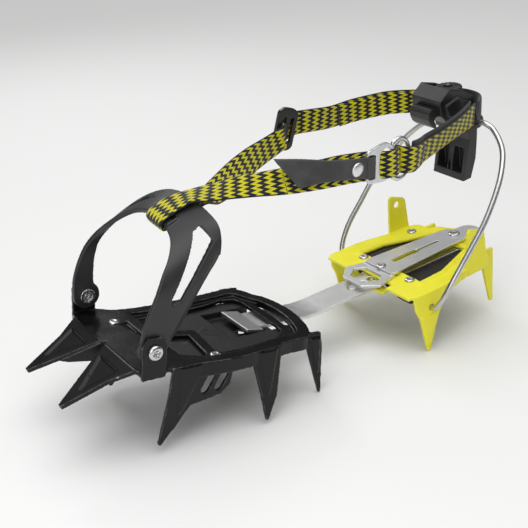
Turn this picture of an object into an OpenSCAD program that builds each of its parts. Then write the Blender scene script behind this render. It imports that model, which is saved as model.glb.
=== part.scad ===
// Twelve-point walking crampon with a plastic toe bail, a wire heel bail and an ankle strap.
// It is the left one of a pair: its outer side is at -Y, its toe at -X and its heel at +X.
// It stands at rest on the rear points of its front unit and the front points of its heel unit.

/* [Stance] */
// Height of the front deck over the front points, before the crampon rocks back
deck_height = 43.7; // [42:0.1:45]
// Nose-up slope of the front deck, degrees
deck_slope = 3.55; // [3:0.05:4]
// Distance from the toe bail's axis to the heel deck's middle reference
heel_distance = 180.5; // [178:0.5:195]
// Height of the heel deck's reference
heel_height = 42.8; // [42:0.1:44]
// Rear-up slope of the heel deck, degrees
heel_slope = 8.58; // [8:0.02:9]
// How far the whole crampon rocks back to stand, degrees
rocker = 2.75; // [2.5:0.05:3]

/* [Sheet metal] */
// Thickness of the front unit's steel
sheet = 2.2; // [2:0.1:2.6]
// Thickness of the heel unit's steel
heel_sheet = 2; // [1.8:0.1:2.4]
// Depth of the front unit's turned-down edge
skirt = 8; // [6:0.5:9]
// How deep the middle of the front deck sits below its rim
dish = 2; // [1.5:0.1:2.2]

/* [Toe bail] */
// Height of the bail's axis over the front deck
pivot_height = 10.7; // [10:0.1:12]
// Inside width between the bail's arms
bail_inside = 75.8; // [74:0.2:78]
// Thickness of the bail's plastic
bail_wall = 2.7; // [2.2:0.1:3.2]
// Radius of the bail's round ends
bail_boss = 7.6; // [7:0.1:9]
// Radius of the pivot screws
screw_r = 2.5; // [2:0.1:3]

/* [Link bar] */
// Width of the bar
bar_w = 20; // [16:0.5:20]
// Thickness of the bar
bar_t = 2; // [1.6:0.1:2]
// Radius of the size holes
size_hole_r = 2.6; // [2.4:0.1:3]
// Distance between size holes
size_pitch = 7.8; // [7:0.1:9]
// Number of size holes
size_holes = 12; // [8:1:12]

/* [Heel bail] */
// Radius of the bail's wire
wire_r = 1.7; // [1.5:0.05:1.9]
// Gap around the wire in its holes
wire_gap = 0.08; // [0.03:0.01:0.1]

/* [Strap] */
// Width of the webbing
strap_w = 14.6; // [14:0.2:18]
// Thickness of the webbing
strap_t = 1.6; // [1.2:0.1:2]

/* [Hidden] */
$fn = 48;
eps = 0.01;
rock_lift = 5.02;
origin_x = 108.9;
paint = [0.07, 0.07, 0.075];
lime = [0.87, 0.84, 0.12];
steel = [0.72, 0.72, 0.73];
plastic = [0.1, 0.1, 0.105];
webbing = [0.5, 0.5, 0.1];

// ---- Frames -----------------------------------------------------------------

module stand() translate([-origin_x, 0, rock_lift]) rotate([0, rocker, 0]) children();
module front_frame() stand() translate([0, 0, deck_height]) rotate([0, deck_slope, 0]) children();
module heel_frame() stand() translate([heel_distance, 0, heel_height])
    rotate([0, -heel_slope, 0]) children();
module both_sides() { children(); mirror([0, 1, 0]) children(); }

// ---- Geometry helpers ---------------------------------------------------------

function unit(v) = v / norm(v);
function left_of(v) = [-v[1], v[0]];
function wrap(list, i) = list[(i + len(list)) % len(list)];

// A closed outline moved inwards by d; the outline runs counterclockwise
function inset(pts, d) = [for (i = [0 : len(pts) - 1])
    let (a = left_of(unit(pts[i] - wrap(pts, i - 1))),
         b = left_of(unit(wrap(pts, i + 1) - pts[i])))
    pts[i] + d * (a + b) / (1 + a * b)];

// A smooth closed curve through the given points
function between(a, b, c, d, t) = 0.5 * (2 * b + (c - a) * t
    + (2 * a - 5 * b + 4 * c - d) * t * t + (3 * b - a - 3 * c + d) * t * t * t);
function smooth_loop(pts, n = 3) = [for (i = [0 : len(pts) - 1], k = [0 : n - 1])
    between(wrap(pts, i - 1), pts[i], wrap(pts, i + 1), wrap(pts, i + 2), k / n)];
function smooth_path(pts, n = 3) = [for (i = [0 : len(pts) - 2], k = [0 : (i == len(pts) - 2 ? n : n - 1)])
    between(pts[max(i - 1, 0)], pts[i], pts[i + 1], pts[min(i + 2, len(pts) - 1)], k / n)];

// Puts a flat drawing on the plane through a, b and c: a is its origin and b lies on its X
module on_plane(a, b, c) {
    u = unit(b - a);
    n = unit(cross(u, c - a));
    v = cross(n, u);
    multmatrix([[u[0], v[0], n[0], a[0]], [u[1], v[1], n[1], a[1]],
        [u[2], v[2], n[2], a[2]], [0, 0, 0, 1]]) children();
}

// An upright plate standing along X: its drawing holds X and Z, and its outer face is at -Y
module side_plate(y, lean, t) {
    translate([0, y, 0]) rotate([lean, 0, 0]) rotate([90, 0, 0]) translate([0, 0, -t])
        linear_extrude(t) children();
}

module round_slot(a, b, r) {
    d = b - a;
    translate(a) circle(r);
    translate(b) circle(r);
    // A hair narrower than the round ends, so that no edge runs tangent to them
    translate(a) rotate(atan2(d[1], d[0])) translate([0, 0.03 - r]) square([norm(d), 2 * r - 0.06]);
}

// A round bar from a to b
module rod(a, b, r) {
    d = b - a;
    translate(a) rotate([0, acos(d[2] / norm(d)), atan2(d[1], d[0])]) cylinder(norm(d), r, r);
}

// A round wire swept along a path
function ring_points(p, d, r, n) = let (s = unit(cross(d, [0.01, 0.02, 1])), u = cross(d, s))
    [for (k = [0 : n - 1]) p + r * cos(k * 360 / n) * s + r * sin(k * 360 / n) * u];
function path_dir(pts, i) = unit(pts[min(i + 1, len(pts) - 1)] - pts[max(i - 1, 0)]);
module sweep(pts, r, n = 12) {
    m = len(pts);
    skin = [for (i = [0 : m - 1]) each ring_points(pts[i], path_dir(pts, i), r, n)];
    sides = [for (i = [0 : m - 2], k = [0 : n - 1]) let (k2 = (k + 1) % n)
        each [[n * i + k, n * i + n + k2, n * i + k2], [n * i + k, n * i + n + k, n * i + n + k2]]];
    ends = [for (k = [1 : n - 2]) each [[0, k, k + 1], [n * m - n, n * m - n + k + 1, n * m - n + k]]];
    polyhedron(skin, concat(sides, ends), convexity = 6);
}

// A flat band along a path. Each row is [x, y, z, roll]; roll 0 lies flat and 90 stands on edge
function row_point(row) = [row[0], row[1], row[2]];
function row_dir(rows, i) = unit(row_point(rows[min(i + 1, len(rows) - 1)])
    - row_point(rows[max(i - 1, 0)]));
function band_side(rows, i) =
    let (d = row_dir(rows, i), s = unit(cross([0, 0, 1], d)), u = cross(d, s))
    cos(rows[i][3]) * s + sin(rows[i][3]) * u;
function band_corners(rows, i, w, t) =
    let (p = row_point(rows[i]), s = band_side(rows, i), n = cross(row_dir(rows, i), s))
    [p - s * w / 2 - n * t / 2, p + s * w / 2 - n * t / 2,
     p + s * w / 2 + n * t / 2, p - s * w / 2 + n * t / 2];
// A solid through the given four-cornered sections
module tube(sections) {
    m = len(sections);
    sides = [for (i = [0 : m - 2], k = [0 : 3])
        each [[4 * i + k, 4 * i + 4 + (k + 1) % 4, 4 * i + (k + 1) % 4],
              [4 * i + k, 4 * i + 4 + k, 4 * i + 4 + (k + 1) % 4]]];
    ends = [[0, 1, 2], [0, 2, 3], [4 * m - 2, 4 * m - 3, 4 * m - 4], [4 * m - 1, 4 * m - 2, 4 * m - 4]];
    polyhedron([for (c = sections) each c], concat(sides, ends), convexity = 6);
}
module band(rows, w, t) tube([for (i = [0 : len(rows) - 1]) band_corners(rows, i, w, t)]);

module rivet_head(r, h) {
    cylinder(h * 0.45, r, r);
    translate([0, 0, h * 0.45 - eps]) cylinder(h * 0.55, r, r * 0.6);
}

// ---- Front unit -----------------------------------------------------------------

// The rim behind the bail's ears, from the outer side round the rear to the inner side
rim_points = [[12, -42.8], [24, -44.2], [40, -46.6], [56, -46.4], [70, -43.6], [82, -42], [93, -41.8],
    [99.6, -33], [104, -18], [105.2, -3], [103, 13], [98.4, 22], [93.6, 33], [84, 36], [70, 34.6],
    [48, 33.6], [28, 33.8], [14, 36.6]];
function rim_line(d) = smooth_path(inset(rim_points, d), 3);
front_outline = concat(rim_line(0), [[6.3, 42.6], [0, 43], [-7.7, 42.6], [-8.6, 36], [-9.3, 20],
    [-9.5, 4], [-8.6, 1.6], [-7, 0], [-8.6, -1.6], [-9.5, -4], [-9.3, -20], [-8.6, -36],
    [-7.7, -42.6], [0, -43], [6.3, -42.6]]);
front_window = [[9, 16], [20, 22.5], [52, 22.5], [64, 23], [78, 26], [86, 24], [88, 18], [88, -18],
    [86.5, -25], [79, -31.5], [54, -34.6], [31, -33], [20, -25], [14, -6]];
rear_slot = [[93.6, 13], [97.6, 12], [99.6, 0], [98.4, -15], [96, -21], [92.6, -19.5], [93.8, -8]];
strut_line = [[12, 4], [41, -5.5], [37.5, -36.4]];
floor_z = -dish;
rim_w = 5;
front_rivet_spots = [[38, -36, floor_z], [7, 20, 0]];
front_point_tip = [-42.3, -22.3, -18.2];
point_root_in = [-8.8, -2, 0];
point_root_out = [-8.2, -37.2, 0];

module deck_part(x_low, x_high) intersection() {
    polygon(front_outline);
    translate([x_low, -60]) square([x_high - x_low, 120]);
}

module dished_deck() {
    // The level front and the rim
    translate([0, 0, -sheet]) linear_extrude(sheet) difference() {
        deck_part(-30, 20);
        polygon(front_window);
    }
    translate([0, 0, -sheet]) linear_extrude(sheet) difference() {
        deck_part(14, 120);
        polygon(rim_line(rim_w + sheet));
    }
    // The turned-down edge
    translate([0, 0, -skirt]) linear_extrude(skirt) difference() {
        deck_part(18, 94);
        polygon(rim_line(sheet));
    }
    // The sunken middle and the step down to it
    translate([0, 0, floor_z - sheet]) linear_extrude(sheet) difference() {
        intersection() {
            polygon(rim_line(rim_w));
            translate([18, -60]) square([100, 120]);
        }
        polygon(front_window);
        polygon(rear_slot);
    }
    translate([0, 0, floor_z - sheet]) linear_extrude(dish + sheet - eps) difference() {
        polygon(rim_line(rim_w));
        polygon(rim_line(rim_w + sheet));
        translate([10, -28]) square([12, 56]);
    }
}

module strut() {
    translate([0, 0, floor_z - sheet]) linear_extrude(sheet) {
        for (i = [0 : 1]) round_slot(strut_line[i], strut_line[i + 1], 3.2);
        translate([38, -36]) circle(5.5);
    }
}

// One slanted front point: a dished blade, and the web turned down along the notch
module front_point() {
    a = point_root_in;
    b = point_root_out;
    tip = front_point_tip;
    u = unit(b - a);
    along = (tip - a) * u;
    reach = norm(tip - a - along * u);
    outline = [[0, 0], [norm(b - a), 0], [norm(b - a) - 7.2, 13], [along + 1.3, reach], [along - 1.3, reach]];
    on_plane(a, b, tip) difference() {
        translate([0, 0, -0.2]) linear_extrude(2.6) polygon(outline);
        translate([0, 0, -1]) linear_extrude(1.8)
            polygon([[6.5, 6], [norm(b - a) - 9, 6], [along + 0.6, reach - 13], [along - 0.6, reach - 13]]);
    }
    on_plane([-7, -0.4, 0], [-28, -12.5, 0], [-7, -0.4, -10]) linear_extrude(sheet)
        polygon([[0, 0], [24, 12.5], [19, 13], [7, 12], [1.5, 11]]);
}

tooth_one = [[9, 0], [8.8, -5], [7.8, -16], [3, -43.6], [4.6, -43.6], [12, -35], [20.5, -24],
    [38.5, -21.5], [43.8, -16.5], [45.2, -8], [45.2, 0]];
tooth_two = [[54, 0], [56, -8], [60.3, -26], [62.8, -39.9], [64.3, -39.9], [70, -27], [72.5, -10], [74, 0]];
tooth_three = [[91, 0], [94.5, -9], [103.9, -37.3], [105.4, -37.3], [104.2, -9], [102.5, 0]];
ear_gap = 0.2;

lean_one = 3.2;
lean_two = -8.3;

module tooth_row() {
    difference() {
        side_plate(-44, lean_one, sheet) polygon(tooth_one);
        for (x = [0, 8]) translate([x, -6, 0]) side_plate(-44, lean_one, 12)
            round_slot([32, -10.6], [28.6, -16.8], 2.3);
    }
    side_plate(-44.7, lean_one, 1.4) polygon([[13.5, -1], [28, -1], [14.4, -27], [13, -27]]);
    side_plate(-45.1, lean_two, sheet) polygon(tooth_two);
    side_plate(-46.05, lean_two, 1.3) polygon([[58.5, -1], [70.5, -1], [65, -25], [63.6, -25]]);
}

module corner_tooth(x, y, turn, drop) {
    translate([x, y, 0]) rotate(turn) translate([-99, 0, 0]) {
        side_plate(0, 0, sheet) polygon([for (p = tooth_three) [p[0], p[1] - (p[1] < -30 ? drop : 0)]]);
        side_plate(-0.9, 0, 1.2) polygon([[96, -3], [102, -3], [102.6, -24], [101.6, -24]]);
    }
}

module ear() {
    top = pivot_height + 7.6;
    side_plate(-bail_inside / 2 - bail_wall - ear_gap - sheet, 0, sheet) difference() {
        polygon([[-7.4, -4], [5.6, -4], [6, 8], [6, top - 3.6], [2.4, top], [-4.2, top],
            [-7.8, top - 3.6], [-7.8, 8]]);
        translate([-0.7, pivot_height]) circle(screw_r + 0.05);
    }
}

module front_plate() {
    color(paint) front_frame() {
        difference() {
            union() {
                dished_deck();
                strut();
            }
            for (p = front_rivet_spots) translate([p[0], p[1], -10]) cylinder(20, 1.9, 1.9);
        }
        both_sides() {
            front_point();
            ear();
        }
        tooth_row();
        mirror([0, 1, 0]) translate([6, 10.6, 0]) tooth_row();
        corner_tooth(99, -40.2, -8, 0);
        mirror([0, 1, 0]) corner_tooth(91.5, -36.2, 8, 0.8);
    }
}

module front_antiball_plate() {
    top = floor_z - sheet - 0.3;
    side = [[22, -31], [32, -36.5], [54, -38], [80, -35.5], [91, -33], [89, 26], [80, 27.5], [52, 26.5],
        [30, 14], [16, 12], [4, 17], [4, -20], [14, -24]];
    color(plastic) front_frame() difference() {
        union() {
            translate([0, 0, top - 2]) linear_extrude(2) difference() {
                polygon(side);
                translate([60, -17]) square([60, 34]);
            }
            translate([58, -19, top - 6.5]) cube([34, 38, 2]);
            for (y = [-19, 17]) translate([58, y, top - 6.5]) cube([34, 2, 6.5]);
            translate([58, -19, top - 6.5]) cube([2, 38, 6.5]);
            for (a = [0, 35, -35]) translate([44, -6, top - 1]) rotate(a) translate([-12, -1, 0])
                cube([24, 2, 1.2]);
        }
        translate([74, -3, top - 8]) cylinder(8, 3, 3);
        for (p = front_rivet_spots) translate([p[0], p[1], -20]) cylinder(20, 1.9, 1.9);
    }
}

module front_rivets() {
    color(steel) front_frame() for (p = front_rivet_spots) translate(p) {
        rivet_head(3.1, 1.1);
        translate([0, 0, -8.4]) cylinder(8.4 + eps, 1.85, 1.85);
        translate([0, 0, -8.6]) cylinder(1, 3, 3);
    }
}

module bail_screws() {
    color(steel) front_frame() both_sides()
        translate([-0.7, 0, pivot_height]) rotate([90, 0, 0]) {
            translate([0, 0, 36.9]) cylinder(6.2, screw_r, screw_r);
            translate([0, 0, 43.05]) difference() {
                rivet_head(4.1, 2);
                translate([0, 0, 0.7]) cylinder(2, 1.4, 1.4, $fn = 6);
            }
        }
}

module bail_nuts() {
    color(steel) front_frame() both_sides()
        translate([-0.7, 0, pivot_height]) rotate([90, 0, 0]) translate([0, 0, 35.9]) difference() {
            cylinder(1.6, 4.2, 4.2);
            translate([0, 0, -1]) cylinder(5, screw_r, screw_r);
        }
}

// ---- Toe bail -------------------------------------------------------------------

// Front and rear edges of the band's outer face, from the outer end over the top to the inner end
bail_front = [[-7, -40.5, -2], [-5.8, -40.5, 5], [-3.8, -40.5, 12], [-0.3, -40.5, 20], [2.9, -40.4, 26],
    [5.5, -39.4, 31], [8.6, -37.2, 36], [12.4, -34.2, 40.6], [16.4, -30, 45.4], [19.4, -25, 49],
    [21, -19, 51.6], [22, -12, 53.8], [22.3, -4, 55.2], [22.3, 3, 55.2], [22, 10, 54.2],
    [20.6, 19, 51.6], [17.6, 26.6, 47.4], [12.6, 32.6, 42.2], [7, 36.8, 36.6], [2, 39.6, 30],
    [-1.6, 40.5, 23.6], [-4.6, 40.5, 17], [-7, 40.5, 9], [-7.6, 40.5, 0]];
bail_rear = [[7.6, -40.5, -2], [14, -40.5, 5], [19.5, -40.5, 12], [25, -40.5, 20.5], [29.8, -40.5, 27.6],
    [34.2, -40.5, 34], [38.6, -40.5, 40.3], [39.8, -40.4, 46], [40.4, -39.2, 51], [40.8, -36, 56],
    [40.8, -30.5, 58.8], [40.8, -21, 61], [40.8, -10, 62.8], [40.2, 1, 63.4], [38.6, 11, 62.2],
    [35.4, 21, 58.6], [30.4, 29, 53.4], [22.5, 34.2, 46.5], [14.6, 37.4, 39], [9.2, 39.8, 31],
    [6.8, 40.5, 23.6], [5.4, 40.5, 17], [4.6, 40.5, 9], [5.2, 40.5, 0]];
arm_window = [[11.6, 20.5], [16.5, 22], [36.7, 49.1], [34, 55], [30, 52.5], [11.6, 24]];
arch_slope = 24;
boss_proud = 0.2;
arch_lip = [22.2, -7.25, 54.75];
arch_roll = 8.6;

function bail_corners(i) = let (a = bail_front[i], b = bail_rear[i],
        d = path_dir([for (k = [0 : len(bail_front) - 1]) (bail_front[k] + bail_rear[k]) / 2], i),
        n = unit(cross(d, b - a)))
    [a, b, b + n * bail_wall, a + n * bail_wall];

module bail_frame() front_frame() translate([-0.7, 0, pivot_height])
    rotate([0, -deck_slope, 0]) children();

// The frame of the arch's front lip: X runs back along the arch's top and Z points off it
module lip_frame() bail_frame() translate(arch_lip)
    rotate([arch_roll, -arch_slope, 0]) children();

module toe_bail() {
    color(plastic) difference() {
        union() {
            bail_frame() tube([for (i = [0 : len(bail_front) - 1]) bail_corners(i)]);
            bail_frame() both_sides() rotate([90, 0, 0]) translate([0, 0, bail_inside / 2 - boss_proud])
                cylinder(bail_wall + boss_proud, bail_boss, bail_boss);
        }
        bail_frame() {
            rotate([90, 0, 0]) translate([0, 0, 24]) linear_extrude(20) polygon(arm_window);
            rotate([90, 0, 0]) translate([0, 0, -60]) cylinder(120, screw_r + 0.07, screw_r + 0.07);
            // The rear bar's outer edge is bevelled
            translate([11, -40.6, 1.4]) rotate([0, -54.6, 0]) rotate([-63.4, 0, 0])
                translate([0, -10, -18.5]) cube([49, 20, 20]);
        }
        // Slot behind the lip, for the webbing
        lip_frame() translate([3.6, -10, -6]) cube([3, 20, 12]);
    }
}

// ---- Link bar -------------------------------------------------------------------

bar_top_front = -4.9;
bar_top_heel = -2.4;
bar_rear = 63;
bend_x = 120.5;
bend_half = 7;

// Height of the bar's upper face over the level, ahead of and behind its bend
function front_line(x) = deck_height - x * tan(deck_slope) + bar_top_front / cos(deck_slope);
function heel_line(x) = heel_height + (x - heel_distance) * tan(heel_slope)
    + bar_top_heel / cos(heel_slope);
function bend_line(t) = let (a = bend_x - bend_half, b = bend_x + bend_half,
        middle = (front_line(bend_x) + heel_line(bend_x)) / 2)
    (1 - t) * (1 - t) * [a, front_line(a)] + 2 * t * (1 - t) * [bend_x, middle] + t * t * [b, heel_line(b)];
bar_line = concat([[82, front_line(82)]], [for (t = [0 : 0.1 : 1]) bend_line(t)],
    [[heel_distance + bar_rear * cos(heel_slope), heel_line(heel_distance + bar_rear * cos(heel_slope))]]);

module bar_blank() {
    under = [for (i = [len(bar_line) - 1 : -1 : 0]) bar_line[i] - [0, bar_t]];
    stand() rotate([90, 0, 0]) translate([0, 0, -bar_w / 2]) linear_extrude(bar_w)
        polygon(concat(bar_line, under));
    front_frame() translate([82, 0, bar_top_front]) rotate([0, 9, 0]) translate([-10.5, -14, -bar_t])
        cube([11.5, 28, bar_t]);
}

module link_bar() {
    color(steel) difference() {
        bar_blank();
        heel_frame() for (i = [0 : size_holes - 1])
            translate([-26 + i * size_pitch, 0, -10]) cylinder(12, size_hole_r, size_hole_r);
    }
}

// ---- Heel unit --------------------------------------------------------------------

heel_half = [[-9, 0], [-9, 18], [-11.5, 30], [-12, 39], [-6, 41], [8, 41.3], [20, 40], [34, 36.6],
    [50, 36], [57, 31.5], [57.5, 24.5], [64, 20], [66.5, 14], [70, 8], [71, 0]];
heel_window = [[5, 6], [52, 6], [53, 14.6], [22, 26.4], [5, 27.4]];
heel_rivet_spots = [[1.4, 21.9], [1.4, -21.9], [46, 27.3], [46, -27.3]];
wire_hole = [1.1, -10.7];
tab_side = [[34, -3], [35.4, 23.6], [37.2, 25.6], [47.2, 21.9], [48.8, 19.6], [51, -3]];
tab_hole = [41.5, 18.6];
heel_skirt = 5.5;
heel_tooth_front = [[-11, 0], [-11, -9], [-8, -16], [-4.2, -38.84], [-2.2, -38.84], [6.5, -17],
    [12, -8.5], [13, 0]];
heel_tooth_rear = [[53, 0], [55.5, -7], [62, -37.2], [64.3, -37.2], [65.4, -7], [65.4, 0]];

function both_halves(half) = concat([for (p = half) [p[0], -p[1]]],
    [for (i = [len(half) - 2 : -1 : 1]) half[i]]);
heel_outline = smooth_loop(both_halves(heel_half), 2);

module heel_lip() {
    // The front edge dips into a channel under the bar
    line = [[-39, 0], [-19, 0], [-14.5, -5.0], [14.5, -5.0], [19, 0], [39, 0]];
    under = [for (i = [len(line) - 1 : -1 : 0]) line[i] - [0, heel_sheet]];
    translate([-14.5, 0, 0]) rotate([90, 0, 90]) linear_extrude(6.5) polygon(concat(line, under));
}

module heel_plate() {
    color(lime) heel_frame() difference() {
        union() {
            translate([0, 0, -heel_sheet]) linear_extrude(heel_sheet) difference() {
                polygon(heel_outline);
                polygon(heel_window);
                mirror([0, 1]) polygon(heel_window);
            }
            translate([0, 0, -heel_skirt]) linear_extrude(heel_skirt) difference() {
                intersection() {
                    polygon(heel_outline);
                    union() for (s = [-60, 22]) translate([-8, s]) square([72, 38]);
                }
                polygon(inset(heel_outline, heel_sheet));
            }
            heel_lip();
            both_sides() {
                side_plate(-41, -1.8, heel_sheet) polygon(heel_tooth_front);
                side_plate(-41.8, -1.8, 1.8) polygon([[-7.5, -15], [5, -15], [-2.4, -34], [-3.8, -34]]);
                side_plate(-27.2, 0, heel_sheet) polygon(heel_tooth_rear);
                side_plate(-37, 0, heel_sheet) polygon(tab_side);
            }
            // A raised bead round each window
            both_sides() translate([0, 0, -eps]) linear_extrude(0.9) difference() {
                polygon([[1.5, 8], [1.5, 31], [22, 30], [56, 16.5], [55.5, 8]]);
                polygon([[4, 4], [4, 28.4], [22, 27.4], [54, 15.2], [53.4, 4]]);
                translate([1.4, 21.9]) circle(4.6);
            }
        }
        for (p = heel_rivet_spots) translate([p[0], p[1], -10]) cylinder(20, 1.9, 1.9);
        translate([wire_hole[0], -60, wire_hole[1]]) rotate([-90, 0, 0])
            cylinder(120, wire_r + wire_gap, wire_r + wire_gap);
        translate([tab_hole[0], -60, tab_hole[1]]) rotate([-90, 0, 0]) cylinder(120, 2.2, 2.2);
        translate([-2.6, 0, -4]) cylinder(8, 3.2, 3.2);
    }
}

module heel_antiball_plate() {
    // Two black pads under the deck, joined below the bar
    pad = [[-6, 12], [-6, 33], [2, 34], [20, 31], [48, 29], [56, 22], [56, 12]];
    top = -heel_sheet - 0.3;
    color(plastic) heel_frame() difference() {
        union() {
            both_sides() {
                translate([0, 0, -5.2]) linear_extrude(5.2 + top) polygon(pad);
                translate([-7.5, 20, -9.5]) cube([8, 12, 9.5 + top]);
                translate([46, 18, -8.5]) cube([6.6, 8, 8.5 + top]);
            }
            translate([-6, -13, -7.2]) cube([62, 26, 2.1]);
        }
        for (p = heel_rivet_spots) translate([p[0], p[1], -20]) cylinder(20, 1.9, 1.9);
    }
}

module heel_rivets() {
    color(steel) heel_frame() for (p = heel_rivet_spots) translate([p[0], p[1], 0]) {
        rivet_head(3.1, 1.2);
        translate([0, 0, -9]) cylinder(9 + eps, 1.85, 1.85);
    }
}

// ---- Size adjuster ------------------------------------------------------------------

lever_low = 1.6;
lever_t = 1.6;
pin_x = -2.6;
pivot_x = 58;

module adjuster_base() {
    color(steel) heel_frame() translate([0, 0, 0.05]) linear_extrude(1.2) {
        translate([54, -7.8]) square([16, 15.6]);
        translate([70, 0]) circle(7.9);
    }
}

module adjuster_lever() {
    color(steel) heel_frame() difference() {
        union() {
            translate([0, 0, lever_low]) linear_extrude(lever_t)
                polygon([[-5, -12.5], [0, -13.2], [55, -9.6], [63.5, -8], [66, -5], [60.5, 9],
                    [55, 9.8], [0, 13.4], [-5, 12.5]]);
            translate([0, 0, 0.25]) linear_extrude(lever_t) difference() {
                polygon([[-25.5, -8.5], [-17, -17], [-2, -12.8], [-2, 12.8], [-17, 17], [-25.5, 8.5]]);
                polygon([[-21.5, -6], [-14.5, -11.5], [-8.5, -7.5], [-8.5, 7.5], [-14.5, 11.5], [-21.5, 6]]);
            }
        }
        translate([0, 0, lever_low - 1]) linear_extrude(4) {
            round_slot([9, 0], [26, 0], 2);
            round_slot([26, 0], [44, 0], 0.8);
        }
        for (x = [pin_x, pivot_x]) translate([x, 0, -1]) cylinder(6, 2.25, 2.25);
    }
}

module adjuster_pin() {
    color(steel) heel_frame() translate([pin_x, 0, 0]) {
        translate([0, 0, bar_top_heel + 0.3]) cylinder(lever_low + lever_t - bar_top_heel, 2.2, 2.2);
        translate([0, 0, lever_low + lever_t]) rivet_head(3.2, 1.1);
    }
}

module adjuster_rivet() {
    color(steel) heel_frame() translate([pivot_x, 0, 0]) {
        translate([0, 0, 1.5]) cylinder(2, 2.2, 2.2);
        translate([0, 0, lever_low + lever_t]) rivet_head(3.8, 1.1);
    }
}

// ---- Heel bail and lever ----------------------------------------------------------------

bail_bar = [69.5, 78.5];
bail_half = [[1.1, 35.4, -10.7], [1.1, 43.6, -10.7], [4.4, 48.6, -2.4], [12, 50.6, 9], [36.8, 50.4, 36.1],
    [52, 45.8, 52.2], [62, 39.4, 63], [67.6, 32.6, 69], [71.5, 23, 75.4], [bail_bar[0], 15.5, bail_bar[1]]];

module wire_bail() {
    knee = smooth_path([for (i = [1 : len(bail_half) - 1]) bail_half[i]], 2);
    color(steel) heel_frame() {
        both_sides() {
            sweep(knee, wire_r);
            rod(bail_half[0], bail_half[1] + [0, 0.6, 0], wire_r);
        }
        rod([bail_bar[0], -16, bail_bar[1]], [bail_bar[0], 16, bail_bar[1]], wire_r);
    }
}

module lever_frame() heel_frame() translate([bail_bar[0], 0, bail_bar[1]]) children();

module lever_extrude(half) rotate([90, 0, 0]) translate([0, 0, -half]) linear_extrude(2 * half) children();

module lever_body() {
    color(plastic) lever_frame() difference() {
        union() {
            // Housing over the boot's heel edge
            lever_extrude(12.5) polygon([[-30, 20], [-29, 11], [-24, 5], [-8, 4], [-3, 9], [-4, 18],
                [-12, 23], [-22, 26]]);
            lever_extrude(14) polygon([[-26, 17], [-25, 11], [-20, 7], [-8, 6], [-6, 14], [-16, 20]]);
            // Hub round the wire
            rotate([90, 0, 0]) translate([0, 0, -12.5]) cylinder(25, 4.4, 4.4);
            lever_extrude(10) polygon([[-16, 7], [-14, -3], [0, -4.3], [2, 4.2], [-4, 8]]);
            // Handle hanging behind the heel
            lever_extrude(13.5) polygon([[-10, -1], [-8.4, -9], [-12, -22], [-14.6, -34.5],
                [-8, -34], [-3.6, -22], [-2.4, -11], [-1.5, -1]]);
        }
        // Hollows in the handle's inner face
        for (y = [-6.4, 6.4]) translate([-20, y - 4.4, -30]) cube([13.5, 8.8, 15]);
        rotate([90, 0, 0]) translate([0, 0, -30]) cylinder(60, wire_r + wire_gap, wire_r + wire_gap);
        translate([-22, -8.8, 17.6]) cube([22, 17.6, 30]);
        translate([-12, 0, -40]) cylinder(70, 1.6, 1.6);
    }
}

module lever_pad() {
    // Hard ledge that bears on the boot's welt, and its neck up to the housing
    color(plastic) lever_frame() {
        translate([-39, -8, 8]) rotate([0, 24, 0]) cube([5.6, 16, 9]);
        lever_extrude(6) polygon([[-34.5, 10.5], [-29.16, 12], [-29.5, 15], [-34.5, 14]]);
    }
}

wheel_spot = [-12, 0, 17.9];

module thumbwheel() {
    ribs = 20;
    color(plastic) lever_frame() translate(wheel_spot) difference() {
        union() {
            cylinder(5.6, 7.9, 7.9);
            for (i = [0 : ribs - 1]) rotate(i * 360 / ribs) translate([7.6, -0.6, 0.5]) cube([0.9, 1.2, 4.6]);
        }
        translate([0, 0, -1]) cylinder(10, 1.55, 1.55);
    }
}

module adjusting_screw() {
    color(steel) lever_frame() translate([-12, 0, 0]) {
        translate([0, 0, 6]) cylinder(18.2, 1.5, 1.5);
        translate([0, 0, 23.7]) rivet_head(2.6, 1.2);
    }
}

// ---- Strap ---------------------------------------------------------------------------

// The webbing's route, in front of the heel lever; each row is x, y, z and roll
near_front = [[40.5, -11, 118.6, 12], [47.5, -17, 120.6, 20], [57, -25, 123.6, 30], [67, -32, 125.6, 38],
    [78.4, -38, 127, 48], [96.8, -42.6, 128.8, 64], [110.5, -44.6, 129.9, 78], [128, -46, 129.9, 84]];
near_rear = [[155, -44.9, 129.3, 92], [169.3, -41, 129.8, 100], [185.8, -35.5, 132.2, 106],
    [208.1, -27, 135.4, 104], [226, -19, 137.8, 92]];
far_rear = [[141, 42.6, 130.7, 94], [150, 43.2, 130.9, 96], [167.9, 43.5, 130.9, 98],
    [182.5, 42.5, 133.3, 98], [197.3, 39.5, 135.4, 98], [208.7, 34, 137.3, 100], [226, 19.6, 139, 102]];
far_front = [[44.6, -6, 112.2, -8], [56, 1, 110.4, 12], [72, 12, 111.9, 34], [86.3, 22, 114.1, 52],
    [101.3, 30, 117.1, 68], [115.8, 36.5, 119.4, 82], [126, 40, 122.2, 90]];
lever_loop = [[228, -18.2, 138.2, 82], [234, -16, 139.8, 86], [240, -9, 141.6, 88],
    [241.4, 0, 142, 90], [240, 9, 141.6, 92], [234, 16, 140.6, 94], [228, 18.4, 139.6, 98]];

function rows_smooth(rows) = smooth_path(rows, 3);

module strap_toe_loop() {
    // One turn of webbing round the front lip of the toe bail
    over = 0.95;
    under = -bail_wall - over;
    color(webbing) lip_frame() rotate([90, 0, 0]) translate([0, 0, -strap_w / 2]) linear_extrude(strap_w)
        polygon([[17, over], [17, over + strap_t], [0, over + strap_t], [-2.4, over + 0.6], [-3.2, -1],
            [-3.2, under + 0.6], [-2.2, under - strap_t], [17, under - strap_t], [17, under],
            [-1, under], [-1.6, -1], [-1.2, 0.2], [0, over]]);
}

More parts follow.
